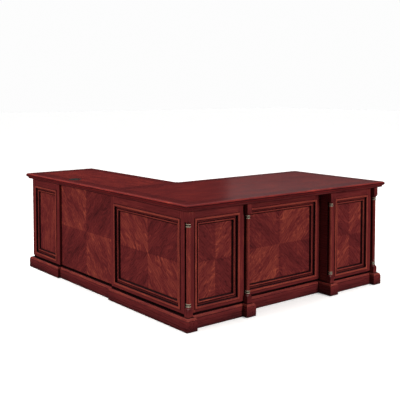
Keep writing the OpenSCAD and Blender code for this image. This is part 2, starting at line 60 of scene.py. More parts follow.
MM = 0.001
QUARTER_TURN = math.pi / 2
WHITE = (1.0, 1.0, 1.0, 1.0)

# A tone moves a part up or down its material's colours, from 0 to 1.
NEUTRAL = 0.5
BOARD_TONE = 0.47
# Painted shadow, for the strip set back along the foot of a face.
SHADOW_TONE = 0.1

# Each part's grain starts somewhere else, up to this many metres away on each axis.
GRAIN_SPREAD = 9.0
GOLDEN = 0.6180339887


# ---------------------------------------------------------------- camera and light

def add_camera():
    """The camera stands off the front left corner of the desk, a little above its top."""
    data = bpy.data.cameras.new("camera")
    data.lens = 65.47
    data.sensor_width = 36.0
    data.shift_y = -0.173
    data.clip_end = 200.0
    camera = bpy.data.objects.new("camera", data)
    camera.location = (-3.4457, -4.3831, 1.425)
    tilt_down, pan = 3.151, -38.416
    camera.rotation_euler = (math.radians(90.0 - tilt_down), 0.0, math.radians(pan))
    bpy.context.scene.collection.objects.link(camera)
    bpy.context.scene.camera = camera


def add_area_light(name, place, target, size, watts, tint, mirrored=True):
    """A soft light. One that is not mirrored lights the desk without a bright patch in its
    lacquer."""
    data = bpy.data.lights.new(name, "AREA")
    data.shape = "RECTANGLE"
    data.size, data.size_y = size
    data.energy = watts
    data.color = tint
    light = bpy.data.objects.new(name, data)
    light.location = place
    light.rotation_euler = (Vector(target) - Vector(place)).to_track_quat("-Z", "Y").to_euler()
    light.visible_glossy = mirrored
    bpy.context.scene.collection.objects.link(light)


def add_surround():
    """A white backdrop for the camera. The wood mirrors a dim room with a bright ceiling."""
    world = bpy.data.worlds.new("studio")
    bpy.context.scene.world = world
    world.use_nodes = True
    nodes, links = world.node_tree.nodes, world.node_tree.links
    backdrop = nodes["Background"]
    soft, mirrored = nodes.new("ShaderNodeBackground"), nodes.new("ShaderNodeBackground")
    for background, strength in ((backdrop, 0.98), (soft, 0.22), (mirrored, 1.0)):
        background.inputs["Color"].default_value = WHITE
        background.inputs["Strength"].default_value = strength
    direction = nodes.new("ShaderNodeTexCoord")
    split = nodes.new("ShaderNodeSeparateXYZ")
    ceiling = nodes.new("ShaderNodeMapRange")
    for name, value in (("From Min", 0.2), ("From Max", 0.9), ("To Min", 0.008), ("To Max", 0.4)):
        ceiling.inputs[name].default_value = value
    links.new(direction.outputs["Generated"], split.inputs[0])
    links.new(split.outputs["Z"], ceiling.inputs["Value"])
    links.new(ceiling.outputs[0], mirrored.inputs["Strength"])
    ray = nodes.new("ShaderNodeLightPath")
    dim, seen = nodes.new("ShaderNodeMixShader"), nodes.new("ShaderNodeMixShader")
    links.new(ray.outputs["Is Glossy Ray"], dim.inputs[0])
    links.new(soft.outputs[0], dim.inputs[1])
    links.new(mirrored.outputs[0], dim.inputs[2])
    links.new(ray.outputs["Is Camera Ray"], seen.inputs[0])
    links.new(dim.outputs[0], seen.inputs[1])
    links.new(backdrop.outputs[0], seen.inputs[2])
    links.new(seen.outputs[0], nodes["World Output"].inputs["Surface"])


# The share of a light's power that the lacquer mirrors. Mirrored in full, it leaves a bright patch.
SHINE = 0.16
WARM, COOL = (1.0, 0.975, 0.94), (0.97, 0.985, 1.0)
SOFT_LIGHTS = (
    # name, place, target, size, watts
    ("left", (-6.4, 0.6, 1.9), (-0.9, 0.2, 0.4), (2.4, 2.4), 310.0),
    ("front", (1.2, -6.8, 2.0), (0.1, -0.9, 0.4), (1.5, 2.2), 335.0),
    ("behind", (-0.4, 3.0, 5.2), (0.0, 0.5, 0.3), (2.0, 2.0), 200.0),
    ("right", (6.6, -0.4, 2.6), (0.6, -0.2, 0.4), (1.8, 2.0), 140.0),
)
FLOOR_REACH = 40.0


def add_studio():
    """A pale floor under an even overhead light, four soft lights round the desk, and a weak one
    from behind its right end."""
    add_surround()
    for name, place, target, size, watts in SOFT_LIGHTS:
        add_area_light(name, place, target, size, watts, WARM, False)
        add_area_light(name + "_shine", place, target, size, watts * SHINE, WARM)
    add_area_light("back", (5.4, 4.0, 2.6), (0.4, -0.3, 0.7), (2.6, 1.8), 2.4, COOL)
    overhead = bpy.data.objects.new("overhead", bpy.data.lights.new("overhead", "SUN"))
    overhead.data.energy = 1.85
    overhead.data.angle = math.radians(60.0)
    bpy.context.scene.collection.objects.link(overhead)
    add_floor()
    bpy.context.scene.view_settings.view_transform = "Standard"


def add_floor():
    """The camera sees the floor and the desk's shadow on it, but it lights nothing itself."""
    r = FLOOR_REACH
    mesh = bpy.data.meshes.new("floor")
    mesh.from_pydata([(-r, -r, 0), (r, -r, 0), (r, r, 0), (-r, r, 0)], [], [(0, 1, 2, 3)])
    floor = bpy.data.objects.new("floor", mesh)
    bpy.context.scene.collection.objects.link(floor)
    floor.data.materials.append(floor_material())
    floor.visible_glossy = False
    floor.visible_diffuse = False
    floor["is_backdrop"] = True


# ---------------------------------------------------------------- materials

class Shader:
    """A material's node tree, with short calls to add and join nodes."""

    def __init__(self, name):
        self.material = bpy.data.materials.new(name)
        self.material.use_nodes = True
        self.nodes = self.material.node_tree.nodes
        self.links = self.material.node_tree.links
        self.bsdf = self.nodes["Principled BSDF"]

    def node(self, kind, inputs=None, **settings):
        """Adds a node. An input is a value, or the output of another node."""
        node = self.nodes.new("ShaderNode" + kind)
        for key, value in settings.items():
            setattr(node, key, value)
        for key, value in (inputs or {}).items():
            self.feed(node.inputs[key], value)
        return node

    def feed(self, socket, value):
        if isinstance(value, bpy.types.NodeSocket):
            self.links.new(value, socket)
        else:
            socket.default_value = value

    def maths(self, operation, a, b):
        return self.node("Math", {0: a, 1: b}, operation=operation).outputs[0]

    def noise(self, vector, scale, detail=3.0, rough=0.55, twist=0.0):
        """Noise over vector, stretched by scale, a number or one for each axis."""
        if isinstance(scale, tuple):
            vector = self.node("Mapping", {"Vector": vector, "Scale": scale}).outputs[0]
            scale = 1.0
        made = self.node("TexNoise", {
            "Vector": vector, "Scale": scale, "Detail": detail, "Roughness": rough,
            "Distortion": twist,
        })
        return made.outputs["Fac"]

    def spread(self, value, low, high, to_low=0.0, to_high=1.0):
        """Stretches what lies between low and high, and holds it at the ends."""
        node = self.node("MapRange", {
            "Value": value, "From Min": low, "From Max": high, "To Min": to_low, "To Max": to_high,
        })
        return node.outputs[0]

    def ramp(self, value, stops):
        """Turns a value from 0 to 1 into a colour. stops are (value, colour)."""
        node = self.node("ValToRGB", {"Fac": value})
        elements = node.color_ramp.elements
        while len(elements) < len(stops):
            elements.new(0.5)
        for element, (place, colour) in zip(elements, stops):
            element.position = place
            element.color = (*colour, 1.0)
        return node.outputs["Color"]

    def mix(self, amount, a, b, blend="MIX"):
        node = self.node("Mix", data_type="RGBA", blend_type=blend)
        self.feed(node.inputs["Factor"], amount)
        self.feed(node.inputs["A"], a)
        self.feed(node.inputs["B"], b)
        return node.outputs["Result"]

    def set(self, **values):
        """Sets the surface's own inputs, with _ for each space in their names."""
        for key, value in values.items():
            self.feed(self.bsdf.inputs[key.replace("_", " ")], value)

    def bump(self, height, strength, distance):
        node = self.node("Bump", {"Height": height, "Strength": strength, "Distance": distance})
        self.feed(self.bsdf.inputs["Normal"], node.outputs["Normal"])


# How fine each layer of the figure is: per metre along the grain, then on the two axes across it.
BENDS = (6.0, 10.0, 10.0)
CLOUDS = (4.0, 14.0, 14.0)
SWAY = (2.2, 6.0, 6.0)
LINES = (4.0, 130.0, 130.0)
FIBRES = (12.0, 420.0, 420.0)
FLECKS = (9.0, 70.0, 70.0)
PORES = (55.0, 1500.0, 1500.0)
RINGS_PER_METRE = 110.0
RING_SWAY = 40.0

# How far out of a groove or an inside corner the dark glaze and painted shade can reach, in metres.
GLAZE_AND_SHADE_REACH = 0.016
GLAZE_AND_SHADE_SAMPLES = 8
GLAZE_AND_SHADE_TINT = (0.1, 0.07, 0.09, 1.0)
PORE_TINT = (0.45, 0.4, 0.42, 1.0)


def wood(name, stops, figure, streak, wander=0.01, gloss=(0.24, 0.34), coat=0.06, glaze_and_shade=1.0,
         along_x=False):
    """Lacquered wood. Its figure follows the grain attribute, or runs along X on a mesh that has
    none, and wanders off it by up to so many metres. A dark glaze, as rubbed into such furniture
    and wiped off, darkens its grooves and inside corners, and also stands in for the shade there
    as painted shade."""
    s = Shader(name)
    if along_x:
        vector, tone = s.node("TexCoord").outputs["Object"], NEUTRAL
    else:
        vector = s.node("Attribute", attribute_name="grain").outputs["Vector"]
        tone = s.node("Attribute", attribute_name="tone").outputs["Fac"]
    bend = s.maths("SUBTRACT", s.noise(vector, BENDS, 2.0), NEUTRAL)
    bend = s.maths("MULTIPLY", bend, wander)
    offset = s.node("CombineXYZ", {1: bend, 2: bend}).outputs[0]
    vector = s.node("VectorMath", {0: vector, 1: offset}, operation="ADD").outputs[0]

    clouds = s.noise(vector, CLOUDS, 3.0, 0.6)
    sway = s.noise(vector, SWAY, 2.0, 0.5, 0.6)
    across = s.maths("MULTIPLY", s.node("SeparateXYZ", {0: vector}).outputs[1], RINGS_PER_METRE)
    rings = s.maths("ADD", across, s.maths("MULTIPLY", sway, RING_SWAY))
    rings = s.maths("PINGPONG", rings, 1.0)
    lines = s.noise(vector, LINES, 3.0, 0.62, 0.4)
    fibres = s.noise(vector, FIBRES, 3.0, 0.6)
    flecks = s.spread(s.noise(vector, FLECKS, 2.0, 0.5), 0.58, 0.7)
    pores = s.spread(s.noise(vector, PORES, 1.0), 0.62, 0.72)

    shade = s.maths("MULTIPLY", s.maths("SUBTRACT", clouds, NEUTRAL), figure)
    for part, share in ((rings, figure * 0.16), (lines, streak), (fibres, streak * 0.6)):
        part = s.maths("MULTIPLY", s.maths("SUBTRACT", part, NEUTRAL), share)
        shade = s.maths("ADD", shade, part)
    light_parts = s.spread(tone, 0.44, 0.54, figure * 0.1, figure * 0.46)
    shade = s.maths("ADD", shade, s.maths("MULTIPLY", flecks, light_parts))
    colour = s.ramp(s.maths("ADD", shade, tone), stops)
    darker = s.mix(1.0, colour, PORE_TINT, "MULTIPLY")
    colour = s.mix(s.maths("MULTIPLY", pores, 0.45), colour, darker)
    # Painted shade: ambient occlusion darkens grooves and inside corners, as glaze and as shade.
    hollow = s.node("AmbientOcclusion", {"Distance": GLAZE_AND_SHADE_REACH}, samples=GLAZE_AND_SHADE_SAMPLES)
    glazed_and_shaded = s.mix(1.0, colour, GLAZE_AND_SHADE_TINT, "MULTIPLY")
    colour = s.mix(s.spread(hollow.outputs["AO"], 0.4, 0.82, glaze_and_shade, 0.0), colour, glazed_and_shaded)
    s.set(
        Base_Color=colour, Roughness=s.spread(lines, 0.3, 0.7, *gloss), Specular_IOR_Level=0.22,
        Coat_Weight=coat, Coat_Roughness=0.12,
    )
    height = s.maths("SUBTRACT", s.maths("MULTIPLY", fibres, 0.4), pores)
    s.bump(height, 0.22, 0.12 * MM)
    return s.material


def metal(name, dark, light, gloss, aged=False):
    """Metal with patches of patina and fine brushing. Aged metal is darker where its tone
    attribute is low, and duller."""
    s = Shader(name)
    position = s.node("TexCoord").outputs["Object"]
    patches = s.noise(position, 65.0, 4.0, 0.6)
    brushing = s.noise(position, (260.0, 260.0, 2340.0), 2.0, 0.5)
    amount = s.maths("ADD", s.maths("MULTIPLY", patches, 0.7), s.maths("MULTIPLY", brushing, 0.3))
    if aged:
        tone = s.node("Attribute", attribute_name="tone").outputs["Fac"]
        amount = s.maths("ADD", amount, s.maths("SUBTRACT", tone, NEUTRAL))
    s.set(
        Base_Color=s.ramp(amount, [(0.1, dark), (0.75, light)]), Metallic=0.55 if aged else 1.0,
        Roughness=s.spread(amount, 0.2, 0.8, gloss[1], gloss[0]),
    )
    s.bump(brushing, 0.15, 0.08 * MM)
    return s.material


def moulded_plastic(name, dark, light):
    """Plastic with the fine, even texture of its mould."""
    s = Shader(name)
    position = s.node("TexCoord").outputs["Object"]
    patches = s.noise(position, 40.0, 3.0)
    texture = s.noise(position, 1600.0, 2.0)
    s.set(
        Base_Color=s.ramp(patches, [(0.3, dark), (0.7, light)]),
        Roughness=s.spread(patches, 0.3, 0.7, 0.26, 0.36), Specular_IOR_Level=0.12,
    )
    s.bump(texture, 0.2, 0.06 * MM)
    return s.material


def floor_material():
    """Almost white. It shines a little by itself, so that it meets the backdrop."""
    s = Shader("floor")
    position = s.node("TexCoord").outputs["Object"]
    patches = s.noise(position, 0.6, 2.0)
    s.set(
        Base_Color=s.ramp(patches, [(0.3, (0.93, 0.93, 0.925)), (0.7, (0.95, 0.95, 0.945))]),
        Roughness=0.7, Specular_IOR_Level=0.2, Emission_Color=WHITE, Emission_Strength=0.28,
    )
    return s.material


# The colours of each wood, from its darkest tone to its lightest.
MAHOGANY = [
    (0.0, (0.004, 0.0015, 0.002)), (0.25, (0.03, 0.0055, 0.0068)), (0.5, (0.108, 0.0145, 0.015)),
    (0.75, (0.25, 0.047, 0.029)), (1.0, (0.48, 0.14, 0.05)),
]
TOP_RED = [
    (0.0, (0.005, 0.002, 0.002)), (0.25, (0.036, 0.005, 0.0065)), (0.5, (0.105, 0.0105, 0.011)),
    (0.75, (0.24, 0.028, 0.019)), (1.0, (0.5, 0.14, 0.05)),
]
DARK_STAIN = [
    (0.0, (0.003, 0.0015, 0.0015)), (0.3, (0.014, 0.003, 0.003)), (0.6, (0.042, 0.008, 0.007)),
    (1.0, (0.11, 0.025, 0.016)),
]
BIRCH = [
    (0.0, (0.2, 0.1, 0.045)), (0.35, (0.46, 0.29, 0.15)), (0.65, (0.6, 0.41, 0.23)),
    (1.0, (0.72, 0.54, 0.34)),
]

materials = {
    "top_wood": wood("top_wood", TOP_RED, figure=0.3, streak=0.3, wander=0.03, gloss=(0.17, 0.26)),
    "body_wood": wood("body_wood", MAHOGANY, figure=0.24, streak=0.32),
    "veneer": wood("veneer", MAHOGANY, figure=0.46, streak=0.4, wander=0.085),
    "dark_wood_x": wood("dark_wood_x", DARK_STAIN, figure=0.2, streak=0.2, along_x=True),
    "body_wood_x": wood("body_wood_x", MAHOGANY, figure=0.16, streak=0.16, along_x=True),
    "inner_wood": wood(
        "inner_wood", BIRCH, figure=0.25, streak=0.2, gloss=(0.42, 0.55), coat=0.05, glaze_and_shade=0.3,
    ),
    "antique_brass": metal(
        "antique_brass", (0.03, 0.02, 0.014), (0.66, 0.57, 0.43), (0.24, 0.42), aged=True,
    ),
    "steel": metal("steel", (0.34, 0.35, 0.36), (0.62, 0.63, 0.64), (0.26, 0.4)),
    "plastic": moulded_plastic("plastic", (0.007, 0.009, 0.008), (0.018, 0.022, 0.019)),
}


# ---------------------------------------------------------------- building pieces

class Piece:
    """Collects parts into one mesh. Each part has its own run of grain and its own tone."""

    parts_made = 0

    def __init__(self, name, cutter=None):
        """Whatever is added has the cutter taken out of it."""
        self.name, self.cutter = name, cutter
        self.verts, self.faces, self.grain, self.tone = [], [], [], []

    def add(self, shape, place=None, grain=0, tone=NEUTRAL, ease=0.0, seed=None):
        """Adds a part. grain is the local axis it runs along, or a function of the local point.
        ease rounds its sharp edges by that many metres. Parts with the same seed share one run
        of grain."""
        place = place or Matrix.Identity(4)
        verts, faces = drilled(shape, place, self.cutter) if self.cutter else shape
        Piece.parts_made += 1
        seed = Piece.parts_made if seed is None else seed
        away = Vector([(seed * GOLDEN * k) % 1.0 * GRAIN_SPREAD for k in (1, 2, 3)])
        work = bmesh.new()
        made = [work.verts.new(v) for v in verts]
        for f in faces:
            work.faces.new([made[i] for i in f])
        work.normal_update()
        if ease:
            limit = math.radians(30)
            sharp = [e for e in work.edges if e.is_manifold and e.calc_face_angle(0.0) > limit]
            bmesh.ops.bevel(
                work, geom=sharp, offset=ease, segments=2, profile=0.5, affect="EDGES",
                clamp_overlap=True,
            )
        start = len(self.verts)
        work.verts.index_update()
        for v in work.verts:
            p = v.co.copy()
            if callable(grain):
                along = grain(p)
            else:
                along = Vector((p[grain], p[(grain + 1) % 3], p[(grain + 2) % 3]))
            self.grain.extend(along + away)
            self.tone.append(tone(p) if callable(tone) else tone)
            self.verts.append(place @ p)
        self.faces.extend([start + v.index for v in f.verts] for f in work.faces)
        work.free()

    def finish(self, material, body, replaces=(), sharp=30.0):
        """Makes the object and tells the frame about it. Edges of more than sharp degrees look
        sharp."""
        mesh = bpy.data.meshes.new(self.name)
        mesh.from_pydata(self.verts, [], self.faces)
        mesh.attributes.new("grain", "FLOAT_VECTOR", "POINT").data.foreach_set("vector", self.grain)
        mesh.attributes.new("tone", "FLOAT", "POINT").data.foreach_set("value", self.tone)
        mesh.materials.append(materials[material])
        mesh.shade_smooth()
        mesh.set_sharp_from_angle(angle=math.radians(sharp))
        piece = bpy.data.objects.new(self.name, mesh)
        bpy.context.scene.collection.objects.link(piece)
        keep_flat(piece)
        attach(piece, body)
        if replaces:
            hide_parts(*replaces)


def keep_flat(obj):
    """Flat faces keep flat shading next to their eased edges."""
    obj.modifiers.new("flat faces stay flat", "WEIGHTED_NORMAL").keep_sharp = True


def box_shape(lo, hi):
    """A box from its lowest corner to its highest."""
    (x0, y0, z0), (x1, y1, z1) = lo, hi
    verts = [(x, y, z) for z in (z0, z1) for x, y in ((x0, y0), (x1, y0), (x1, y1), (x0, y1))]
    faces = [(3, 2, 1, 0), (4, 5, 6, 7), (0, 1, 5, 4), (1, 2, 6, 5), (2, 3, 7, 6), (3, 0, 4, 7)]
    return verts, faces


def loft(rings):
    """Joins rings of the same number of points, from the bottom up, and closes both ends."""
    count = len(rings[0])
    verts = [p for ring in rings for p in ring]
    faces = [tuple(reversed(range(count)))]
    for k in range(len(rings) - 1):
        for i in range(count):
            j = (i + 1) % count
            faces.append((k * count + i, k * count + j, (k + 1) * count + j, (k + 1) * count + i))
    last = (len(rings) - 1) * count
    faces.append(tuple(range(last, last + count)))
    return verts, faces


def prism(outline, z0, z1):
    """An upright solid over a closed outline of (x, y)."""
    return loft([[(x, y, z) for x, y in outline] for z in (z0, z1)])


def strip(length, section, mitre=(True, True)):
    """A moulding along X. section is a closed outline of (distance in, height), and a mitred end
    is cut back by the distance in."""
    area = sum(a[0] * b[1] - b[0] * a[1] for a, b in zip(section, section[1:] + section[:1]))
    if area < 0:
        section = section[::-1]
    ends = []
    for side in (0, 1):
        ring = []
        for d, h in section:
            cut = d if mitre[side] else 0.0
            ring.append((length - cut if side else cut, d, h))
        ends.append(ring)
    return loft(ends)


def sides_of(place, w, d):
    """The sides of a w by d rectangle, anticlockwise from the one along X, as (place, length).
    Each place has X along the side and Y inwards."""
    return [
        (place @ Matrix.Translation((x, y, 0)) @ Matrix.Rotation(k * QUARTER_TURN, 4, "Z"), length)
        for k, (x, y, length) in enumerate(((0, 0, w), (w, 0, d), (w, d, w), (0, d, d)))
    ]


def lathe(section, count, closed=False):
    """Turns (radius, height) points about Z. A closed section makes a ring with a hole."""
    angles = [2 * math.pi * i / count for i in range(count)]
    if closed:
        n = len(section)
        verts = [(r * math.cos(a), r * math.sin(a), z) for a in angles for r, z in section]
        faces = []
        for i in range(count):
            j = (i + 1) % count
            for k in range(n):
                m = (k + 1) % n
                faces.append((i * n + k, j * n + k, j * n + m, i * n + m))
        return verts, faces
    return loft([[(r * math.cos(a), r * math.sin(a), z) for a in angles] for r, z in section])


def arc(centre, radii, start, end, steps):
    """Points of an ellipse about centre, from one angle in degrees to another."""
    points = []
    for i in range(steps + 1):
        a = math.radians(start + (end - start) * i / steps)
        points.append((centre[0] + radii[0] * math.cos(a), centre[1] + radii[1] * math.sin(a)))
    return points


def drilled(shape, place, cutter):
    """The shape, which stands at place, less a closed cutter drawn in the frame's
    coordinates."""
    objects = []
    to_local = place.inverted()
    for verts, faces in (shape, ([to_local @ Vector(v) for v in cutter[0]], cutter[1])):
        mesh = bpy.data.meshes.new("work")
        mesh.from_pydata(verts, [], faces)
        work = bpy.data.objects.new("work", mesh)
        bpy.context.scene.collection.objects.link(work)
        objects.append(work)
    cut = objects[0].modifiers.new("cut", "BOOLEAN")
    cut.operation, cut.solver, cut.object = "DIFFERENCE", "EXACT", objects[1]
    result = objects[0].evaluated_get(bpy.context.evaluated_depsgraph_get()).data
    made = [v.co.copy() for v in result.vertices], [tuple(f.vertices) for f in result.polygons]
    for work in objects:
        bpy.data.objects.remove(work)
    return made


def drill_through(centre, radius, low, high):
    """A round cutter that stands upright at centre."""
    verts, faces = lathe([(radius, low), (radius, high)], 48)
    return [(x + centre[0], y + centre[1], z) for x, y, z in verts], faces


def scaled(points):
    """Points drawn in millimetres, in metres."""
    return [(a * MM, b * MM) for a, b in points]


def solids(node):
    """The (lowest corner, highest corner, points) of each separate solid in a CAD node, from
    left to right."""
    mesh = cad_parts[node].data
    places, merged = {}, []
    for v in mesh.vertices:
        merged.append(places.setdefault(tuple(round(c, 6) for c in v.co), len(places)))
    root = list(range(len(places)))

    def root_of(i):
        while root[i] != i:
            root[i] = root[root[i]]
            i = root[i]
        return i

    for polygon in mesh.polygons:
        first = root_of(merged[polygon.vertices[0]])
        for i in polygon.vertices[1:]:
            root[root_of(merged[i])] = first
    groups = {}
    for place, i in places.items():
        groups.setdefault(root_of(i), []).append(Vector(place))
    found = []
    for points in groups.values():
        lo = Vector([min(p[k] for p in points) for k in range(3)])
        hi = Vector([max(p[k] for p in points) for k in range(3)])
        found.append((lo, hi, points))
    return sorted(found, key=lambda s: (round(s[0].x, 4), round(s[0].y, 4), round(s[0].z, 4)))


def facing(direction, x, y, z):
    """Stands a face drawn flat (X along it, Y up, Z outwards) at a point, looking that way."""
    along, out = {
        "front": ((1, 0, 0), (0, -1, 0)), "back": ((-1, 0, 0), (0, 1, 0)),
        "left": ((0, -1, 0), (-1, 0, 0)), "right": ((0, 1, 0), (1, 0, 0)),
    }[direction]
    place = Matrix.Identity(4)
    for row in range(3):
        place[row][0], place[row][1], place[row][2] = along[row], (0, 0, 1)[row], out[row]
    place.translation = (x, y, z)
    return place


def stand(direction, lo, hi):
    """The place of the outer face of a box that looks in that direction, and the box's width,
    height and depth behind it."""
    x, y = {
        "front": (lo.x, lo.y), "back": (hi.x, hi.y), "left": (lo.x, hi.y), "right": (hi.x, lo.y),
    }[direction]
    w, depth = hi.x - lo.x, hi.y - lo.y
    if direction in ("left", "right"):
        w, depth = depth, w
    return facing(direction, x, y, lo.z), w, hi.z - lo.z, depth


# ---------------------------------------------------------------- tops

# How far in from the edge of a top, in mm, the solid edge and the crossbanding end, and how wide
# the line of stringing is.
EDGE = 30.0
BAND = 98.0
STRING = 2.0


def top_section(thickness):
    """The solid edge of a top: a thumbnail above, a rounded nose and a small quirk below."""
    t = thickness / MM
    return scaled(
        [(EDGE, 0)]
        + arc((6.5, 6), (6.5, 6), 270, 180, 8)
        + [(0, t - 11.5), (1.2, t - 11.0)]
        + arc((16, t - 9.6), (14.8, 9.6), 180, 90, 14)
        + [(EDGE, t)]
    )


def edge_tone(thickness):
    """Redder and lighter along the nose, as wear and as painted highlight. Painted shade makes it a
    little darker below the nose, and dark in the quirk and under the board.
    """
    def tone(p):
        if p.z < 1.0 * MM:
            return 0.25
        if p.y < 2.0 * MM and thickness - 12 * MM < p.z < thickness - 10 * MM:
            return 0.12
        if p.z < thickness - 10 * MM:
            return 0.46
        return 0.55 if p.y < 8 * MM else 0.5
    return tone


def top_board(name, sides, seam_x=None, cutter=None):
    """A veneered top: solid moulded edges, a crossbanded border, a line of stringing and the
    field. sides says which of left, right, front and back have them. Up to seam_x, the solid edge
    at the back is square, because another top joins it there."""
    lo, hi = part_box(name)
    w, d, t = hi.x - lo.x, hi.y - lo.y, hi.z - lo.z
    left, right, front, back = sides
    seam = 0.0 if seam_x is None else seam_x - lo.x
    at = Matrix.Translation(lo)
    runs = (
        # moulded, mitred at each end, how much of it is the square seam
        (front, (left, right), 0.0), (right, (front, back), 0.0),
        (back, (right, left), seam), (left, (back, front), 0.0),
    )
    piece = Piece(name + "_board", cutter)
    for k, ((place, length), (moulded, mitre, square)) in enumerate(zip(sides_of(at, w, d), runs)):
        if not moulded:
            continue
        nose = mitre
        if square:
            nose = (mitre[0], False)
        elif seam and k == 3:  # the left side starts where the seam ends
            nose = (False, mitre[1])
        piece.add(strip(length - square, top_section(t), nose), place, 0, edge_tone(t))
        for start, end, grain, tone in ((EDGE, BAND, 1, 0.42), (BAND, BAND + STRING, 0, 0.2)):
            flat = scaled([(start, 0), (start, t / MM), (end, t / MM), (end, 0)])
            piece.add(strip(length, flat, mitre), place, grain, tone)
    if seam:
        piece.add(box_shape((EDGE * MM, d - EDGE * MM, 0), (seam, d, t)), at, 0, 0.44)
    inset = (BAND + STRING) * MM
    x0, x1 = (inset if left else 0), w - (inset if right else 0)
    y0, y1 = (inset if front else 0), d - (inset if back else 0)
    grain, tone = (0, 0.5) if w > d else (1, 0.53)
    piece.add(box_shape((x0, y0, 0), (x1, y1, t)), at, grain, tone, 0.6 * MM)
    piece.finish("top_wood", "desk", [name])


# How far in the frame under the tops reaches, in mm.
COVE_RIM = 77


def cove_section(thickness):
    """A cove over a small step, as far in as the frame reaches."""
    t = thickness / MM
    return scaled(
        [(COVE_RIM, 0), (15.5, 0), (15.5, 2.4), (14.2, 2.4)]
        + arc((7.8, 2.8), (6.4, t - 5.6), 0, 88, 10)
        + [(7.2, t - 2.8), (7.2, t), (COVE_RIM, t)]
    )


def cove_tone(p):
    """Painted shade under the tops: dark on the step below the cove and on what lies behind it, and
    a little darker on the cove itself.
    """
    return 0.16 if p.z < 2.6 * MM or p.y > 30 * MM else 0.42


def under_moulding(cutter):
    """The frame with a cove edge under the tops, cut where the cable hole passes."""
    piece = Piece("cove_frame", cutter)
    lo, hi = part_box("top_underframes")
    desk_lo, desk_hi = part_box("desk_top")
    return_lo, return_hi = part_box("return_top")
    z, t = lo.z, hi.z - lo.z
    section, rim = cove_section(t), COVE_RIM * MM
    both, to_seam, from_seam = (True, True), (True, False), (False, True)

    w, d = desk_hi.x - desk_lo.x, desk_hi.y - desk_lo.y
    seam = return_hi.x - desk_lo.x
    at = Matrix.Translation((desk_lo.x, desk_lo.y, z))
    runs = ((0, both), (0, both), (seam, to_seam), (0, from_seam))
    for (place, length), (short, mitre) in zip(sides_of(at, w, d), runs):
        piece.add(strip(length - short, section, mitre), place, 0, cove_tone)
    # The filler under the tops is darker, as painted shade.
    piece.add(box_shape((rim, d - rim, 0), (seam, d, t)), at, 0, 0.3)

    w, d = return_hi.x - return_lo.x, return_hi.y - return_lo.y
    at = Matrix.Translation((return_lo.x, return_lo.y, z))
    for (place, length), mitre in zip(sides_of(at, w, d)[1:], (from_seam, both, to_seam)):
        piece.add(strip(length, section, mitre), place, 0, cove_tone)
    # The filler under the tops is darker, as painted shade.
    piece.add(box_shape((rim, 0, 0), (w - rim, rim, t)), at, 0, 0.3)
    piece.finish("body_wood", "desk", ["top_underframes"])


# ---------------------------------------------------------------- posts and plinth

TAPER = 22 * MM
SHAFT = 12.5 * MM
TAPER_STEPS = 12


def turned_post(length, half, low, high):
    """A post with square ends. low and high are the ends of the turned part, between its two
    tapers. Each ring is the smaller of a circle and the square with its arris taken off."""
    corner, arris = half * 1.42, half * 1.385
    levels = []
    for i in range(TAPER_STEPS + 1):
        share = i / TAPER_STEPS
        radius = corner + (SHAFT - corner) * (3 * share ** 2 - 2 * share ** 3)
        levels.append((low - TAPER + TAPER * share, radius))
    upper = [
        (length - high - TAPER + TAPER * i / TAPER_STEPS, radius)
        for i, (_, radius) in enumerate(levels)
    ]
    profile = [(0.0, corner), (low - TAPER, corner)] + levels[1:]
    profile += [
        (low + 26 * MM, SHAFT), ((low + high) / 2, SHAFT + 0.6 * MM), (high - 26 * MM, SHAFT),
    ]
    profile += [(length - z, radius) for z, radius in reversed(upper)]
    profile.append((length, corner))
    rings, count = [], 64
    for z, radius in profile:
        ring = []
        for i in range(count):
            a = 2 * math.pi * (i + 0.5) / count
            square = half / max(abs(math.cos(a)), abs(math.sin(a)))
            reach = min(radius, square, arris)
            ring.append((reach * math.cos(a), reach * math.sin(a), z))
        rings.append(ring)
    return loft(rings)


def posts():
    """The front posts, turned between the ferrules that each of them carries."""
    piece = Piece("corner_posts")
    rings = solids("post_ferrules")
    for lo, hi, _ in solids("front_posts"):
        centre = (lo + hi) / 2
        length = hi.z - lo.z
        near = [f for f in rings if abs((f[0].x + f[1].x) / 2 - centre.x) < 5 * MM]
        low = min(f[0].z for f in near) - lo.z
        high = max(f[1].z for f in near) - lo.z

        def tone(p, length=length, low=low, high=high):
            if low - 24 * MM < p.z < low or high < p.z < high + 24 * MM:
                return 0.4
            return 0.52 if min(p.z, length - p.z) < low else 0.55

        shape = turned_post(length, (hi.x - lo.x) / 2, low, high)
        piece.add(shape, Matrix.Translation((centre.x, centre.y, lo.z)), 2, tone)
    piece.finish("body_wood", "desk", ["front_posts"])


def ferrules():
    """Brass rings with two beads and a dark hollow between them."""
    piece = Piece("ferrule_rings")
    for lo, hi, _ in solids("post_ferrules"):
        centre, h = (lo + hi) / 2, (hi.z - lo.z) / MM
        outer = (hi.x - lo.x) / 2 / MM
        core = outer - 1.9
        section = scaled(
            [(12.7, 0), (outer - 1, 0)] + arc((outer - 2, 2), (2, 2), -60, 80, 6)
            + [(core, 4.2), (core - 0.3, 5.2), (core - 0.3, h - 5.2), (core, h - 4.2)]
            + arc((outer - 2, h - 2), (2, 2), -80, 60, 6) + [(outer - 1, h), (12.7, h)]
        )
        hollow = (core - 0.2) * MM

        def tone(p, hollow=hollow):
            return 0.05 if math.hypot(p.x, p.y) < hollow else 0.8

        piece.add(lathe(section, 40, True), Matrix.Translation((centre.x, centre.y, lo.z)), 2, tone)
    piece.finish("antique_brass", "desk", ["post_ferrules"], 50)


